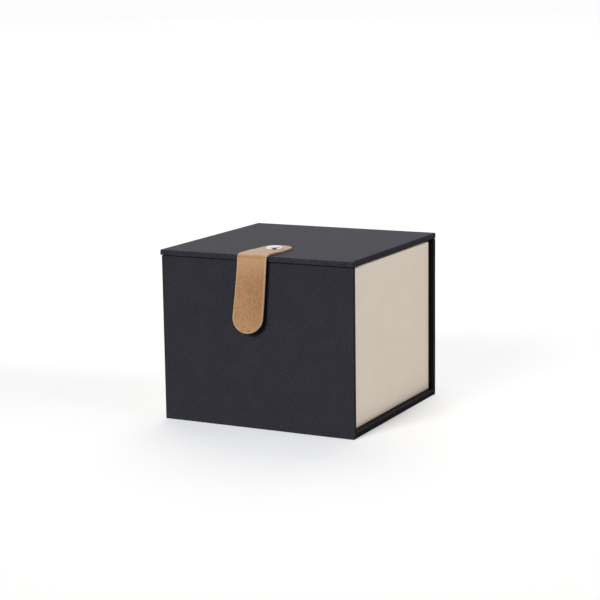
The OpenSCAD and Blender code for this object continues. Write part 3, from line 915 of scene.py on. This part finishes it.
def leather_strap(material):
    """The whole strap in one piece of leather, with rounded edges and the rivet's hole."""
    lid_low, lid_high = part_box("lid_wrap")
    rivet_low, rivet_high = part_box("rivet_post")
    curve = StrapCurve((rivet_low.y + rivet_high.y) / 2, lid_high.z)
    rows = strap_outline_rows()
    radius, half = STRAP_W / 2, STRAP_T / 2
    right = (0.09, 0.27, 0.45, 0.62, 0.78, 0.9, 0.965, 1)
    across = [-share for share in reversed(right)] + list(right)
    bm = bmesh.new()
    hide = bm.verts.layers.float_vector.new("hide")
    rim = bm.verts.layers.float.new("rim")
    flesh = bm.verts.layers.float.new("flesh")
    crease = bm.verts.layers.float.new("crease")

    def vertex(row, inset, share, height, on_rim, on_flesh):
        centre, ahead, aside = row
        along = centre + ahead * (radius - inset)
        place, flat = strap_place(curve, along, share * aside * (radius - inset), height)
        made = bm.verts.new(place)
        made[hide], made[flesh] = flat, on_flesh
        made[rim] = max(on_rim, 0.5 * (height > 0 and abs(share) == 1))
        from_fold = (flat.y - curve.fold_b - CREASE_AT) / CREASE_REACH
        made[crease] = math.exp(-(from_fold ** 2)) if height > 0 else 0
        return made

    def face_grid(inset, height, on_flesh):
        """One face of the leather: a point at each end and rows between them."""
        grid = [[vertex(rows[0], inset, 0, height, 0, on_flesh)]]
        for row in rows[1:-1]:
            grid.append([vertex(row, inset, share, height, 0, on_flesh) for share in across])
        grid.append([vertex(rows[-1], inset, 0, height, 0, on_flesh)])
        for above, below in zip(grid[1:-2], grid[2:-1]):
            for k in range(len(across) - 1):
                bm.faces.new((above[k], above[k + 1], below[k + 1], below[k]))
        for tip, row in ((grid[0][0], grid[1]), (grid[-1][0], grid[-2])):
            for k in range(len(across) - 1):
                bm.faces.new((tip, row[k], row[k + 1]))
        inner = grid[1:-1]
        right_side, left_side = [row[-1] for row in inner], [row[0] for row in inner[::-1]]
        return grid[0] + right_side + grid[-1] + left_side

    loops = [face_grid(GRAIN_EDGE_R, half, 0)]
    edge = []
    for inset, drop in quarter(GRAIN_EDGE_R)[1:]:
        edge.append((inset, half - drop, 0.4 + 0.6 * (1 - inset / GRAIN_EDGE_R)))
    edge.append((0, 0, 1))
    edge += [(inset, drop - half, 1) for inset, drop in reversed(quarter(FLESH_EDGE_R, 2)[1:])]
    for inset, height, pale in edge:
        loop = [vertex(rows[0], inset, 0, height, pale, 0)]
        loop += [vertex(row, inset, 1, height, pale, 0) for row in rows[1:-1]]
        loop.append(vertex(rows[-1], inset, 0, height, pale, 0))
        loop += [vertex(row, inset, -1, height, pale, 0) for row in reversed(rows[1:-1])]
        loops.append(loop)
    loops.append(face_grid(FLESH_EDGE_R, -half, 1))
    for loop, after in zip(loops, loops[1:]):
        for k in range(len(loop)):
            m = (k + 1) % len(loop)
            bm.faces.new((loop[k], loop[m], after[m], after[k]))
    strap = add_piece("leather_strap", bm, material)
    punch(strap, POST_HOLE_R)
    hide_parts("strap_top", "strap_fold", "strap_tail")
    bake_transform(strap)
    return strap


# ---------------------------------------------------------------- rivet


def rivet_head(material):
    """Pressed domed cap, its edge sunk a little in the leather."""
    low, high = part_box("rivet_cap")
    points = [
        (4.3, -0.46), (4.8, -0.44), (4.95, -0.26), (4.93, 0.0), (4.78, 0.3), (4.45, 0.6),
        (4.05, 0.82), (3.55, 0.98), (3.0, 1.08), (2.3, 1.15), (1.4, 1.2), (0.7, 1.21),
    ]
    dome = [(r * MM, h * MM) for r, h in spline(points, 4)]
    profile = [(0, CAP_FOOT), *dome, (0, CAP_TOP)]
    middle = (low + high) / 2
    head = lathe("rivet_head", profile, Vector((middle.x, middle.y, low.z)), material)
    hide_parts("rivet_cap")
    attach(head, "lid")
    return head


def rivet_base(material):
    """Post with its flange inside the lid."""
    low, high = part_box("rivet_post")
    middle = (low + high) / 2
    flange = [
        (0.9, 0.15), (1.5, 0.1), (2.1, 0.02), (3.4, 0), (4.1, 0.05),
        (4.45, 0.25), (4.5, 0.5), (4.38, 0.72), (4.1, 0.8),
    ]
    curve = [(0, 0.14)] + spline(flange, 3)
    top = (high.z - low.z) / MM
    post = [(1.6, 0.8), (1.6, top - 0.45), (1.2, top - 0.4), (1.2, top), (0, top)]
    profile = [(r * MM, h * MM) for r, h in curve + post]
    base = lathe("rivet_base", profile, Vector((middle.x, middle.y, low.z)), material)
    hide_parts("rivet_post")
    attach(base, "lid")
    return base


# ---------------------------------------------------------------- studio


def set_camera():
    """Camera at the photograph's angle."""
    az, el, roll = CAMERA_AZIMUTH, CAMERA_ELEVATION, CAMERA_ROLL
    back = Vector((math.sin(az) * math.cos(el), -math.cos(az) * math.cos(el), math.sin(el)))
    level = Vector((math.cos(az), math.sin(az), 0))
    upright = back.cross(level)
    right = level * math.cos(roll) + upright * math.sin(roll)
    up = upright * math.cos(roll) - level * math.sin(roll)
    data = bpy.data.cameras.new("camera")
    data.sensor_width, data.lens = SENSOR, CAMERA_LENS
    data.clip_start, data.clip_end = 0.01, 100
    camera = bpy.data.objects.new("camera", data)
    bpy.context.scene.collection.objects.link(camera)
    turned = Matrix((right, up, back)).transposed().to_4x4()
    camera.matrix_world = Matrix.Translation(CAMERA_PLACE) @ turned
    bpy.context.scene.camera = camera


def studio_floor():
    """White floor that keeps the box's soft shadow."""
    bm = bmesh.new()
    bmesh.ops.create_circle(bm, cap_ends=True, radius=FLOOR_R, segments=96)
    n = Nodes("studio_floor")
    white, path = n.seen()
    place = n.add("SeparateXYZ", {0: n.place()}).outputs
    # Behind the box, more glow and less paint wash out the box's shadow: painted light.
    behind = n.span(place[1], BEHIND_FROM, BEHIND_TO, 0.0, 1.0)
    blue = n.span(place[1], BLUE_FROM, BLUE_TO, 0.0, SHADOW_BLUE)
    cool = n.add("CombineXYZ", {0: n.math("MULTIPLY", blue, SHADOW_RED), 1: 0.0, 2: blue}).outputs[0]
    reach = n.add("VectorMath", {0: n.place()}, operation="LENGTH").outputs["Value"]
    # A painted pool of light: the floor dims away from the box.
    level = n.span(behind, 0, 1, n.span(reach, *FRONT_POOL), n.span(reach, *BACK_POOL))
    even = n.math("MULTIPLY", n.span(behind, 0, 1, FLOOR_SEEN, BEHIND_SEEN), level)
    even = n.add("CombineXYZ", {0: even, 1: even, 2: even}).outputs[0]
    seen_paint = n.add("VectorMath", {0: even, 1: cool}, operation="SUBTRACT").outputs[0]
    bounce_paint = (FLOOR_BOUNCE,) * 3 + (1,)
    paint = n.add("BsdfDiffuse", {"Color": n.mix(path["Is Camera Ray"], bounce_paint, seen_paint)})
    glow = n.span(behind, 0, 1, FLOOR_GLOW, BEHIND_GLOW)
    glow = n.add("CombineXYZ", {0: glow, 1: glow, 2: glow}).outputs[0]
    glow = n.add("VectorMath", {0: glow, 1: cool}, operation="ADD").outputs[0]
    glow = n.mix(path["Is Glossy Ray"], glow, (FLOOR_MIRRORED,) * 3 + (1,))
    glow = n.add("Emission", {"Color": glow, "Strength": n.math("MULTIPLY", white, level)})
    both = n.add("AddShader", {0: paint.outputs[0], 1: glow.outputs[0]})
    n.add("OutputMaterial", {"Surface": both.outputs[0]})
    floor = add_piece("studio_floor", bm, n.material)
    if floor.data.polygons[0].normal.z < 0:
        floor.data.flip_normals()


def studio_world():
    """White surroundings for what is seen and mirrored, and an even sky for matt light."""
    world = bpy.data.worlds.new("studio")
    bpy.context.scene.world = world
    n = Nodes("studio", world)
    white, path = n.seen()
    way = n.add("TexCoord").outputs["Generated"]
    # Mirrored surroundings are darker on the side that the camera stands on
    toward = n.add("VectorMath", {0: way, 1: MIRRORED_WAY}, operation="DOT_PRODUCT").outputs["Value"]
    fade = n.span(toward, *MIRRORED_FADE, kind="SMOOTHSTEP")
    # and two bright panels hang to the left and right, above the box
    across = n.add("VectorMath", {0: way, 1: PANELS_WAY}, operation="DOT_PRODUCT").outputs["Value"]
    height = n.add("SeparateXYZ", {0: way}).outputs[2]
    aside = n.span(n.math("ABSOLUTE", across), *PANELS_ASIDE, kind="SMOOTHSTEP")
    above = n.span(height, *PANELS_HEIGHT, kind="SMOOTHSTEP")
    panels = n.math("MULTIPLY", aside, above)
    brightest = n.math("MAXIMUM", fade, panels)
    mirrored = n.add("Mix", {0: path["Is Camera Ray"], 2: brightest, 3: 1.0}).outputs[0]
    strength = n.add("Mix", {0: white, 2: SKY_DIFFUSE, 3: mirrored}).outputs[0]
    background = n.add("Background", {"Color": (1, 1, 1, 1), "Strength": strength})
    n.add("OutputWorld", {"Surface": background.outputs[0]})


def sun_lamp(name, way, strength, softness):
    """A broad even light from the direction `way`. softness is its width in degrees."""
    data = bpy.data.lights.new(name, "SUN")
    data.energy, data.angle = strength, math.radians(softness)
    lamp = bpy.data.objects.new(name, data)
    bpy.context.scene.collection.objects.link(lamp)
    lamp.rotation_mode = "QUATERNION"
    lamp.rotation_quaternion = (-Vector(way)).to_track_quat("-Z", "Y")
    lamp.visible_glossy = False
    return lamp


def studio_lamps():
    """A main light from the front, a weaker one from above the back and one from the right."""
    sun_lamp("key", (-0.19, -0.894, 0.41), 3.25, 24)
    sun_lamp("top", (-0.28, 0.66, 0.75), 1.3, 50)
    sun_lamp("right", (1, 0.1, 0.2), 2.15, 50)


# ---------------------------------------------------------------- the whole box


def dress_hidden_parts():
    """Materials for the boards, tapes, bars and magnets that the papers cover."""
    greyboard = fibre_board("greyboard", BOARD_DARK, BOARD_LIGHT)
    kraft = fibre_board("kraft_tape", KRAFT_DARK, KRAFT_LIGHT)
    steel = bright_metal("plated_steel_bars", BAR_STEEL, 0.3, 0.2 * MM)
    magnet = bright_metal("magnet_nickel", MAGNET_NICKEL, 0.22, 0.2 * MM)
    materials = {
        "greyboard": greyboard, "kraft_tape": kraft, "plated_steel": steel, "magnet_nickel": magnet,
    }
    replaced = {
        "base_wrap", "front_wrap", "back_wrap", "hinge_strip", "tray_wrap", "tray_lining",
        "floor_sheet", "lid_wrap", "lid_lining", "rivet_cap", "rivet_post", "strap_top",
        "strap_fold", "strap_tail",
    }
    for part in frame["record"]["subparts"]:
        if part["node"] not in replaced:
            mesh = frame["nodes"][part["node"]].data
            mesh.materials.clear()
            mesh.materials.append(materials[part["material_slot"]])


bpy.context.scene.view_settings.view_transform = "Standard"
set_camera()
studio_floor()
studio_world()
studio_lamps()
dress_hidden_parts()

linen = linen_paper("dark_linen_paper")
cream = cream_paper("cream_paper")
steel = bright_metal("plated_steel", RIVET_STEEL, 0.08, 0.25 * MM)

# Below 0, the strip and margin tones paint shade on the panels' edge strips and on the margins by the
# tray.
panel_cover("base_cover", "base_wrap", "box", Z, 1, linen, (0.1, -0.95, -1))
panel_cover("front_cover", "front_wrap", "box", Y, 1, linen, (0.1, -0.4, -1))
panel_cover("back_cover", "back_wrap", "box", Y, -1, linen, (0.0, -1, -0.85))
lid_cover = panel_cover("lid_cover", "lid_wrap", "lid", Z, -1, linen, (0.9, -0.05, -0.3))
punch(lid_cover, POST_HOLE_R)
lid_lining_sheet(linen)
hinge_paper(linen_paper("dark_linen_hinge", "at_rest"))
tray_paper(cream)
tray_inner_paper(cream)
floor_paper(cream)
leather_strap(tan_leather("tan_leather"))
rivet_head(steel)
rivet_base(steel)
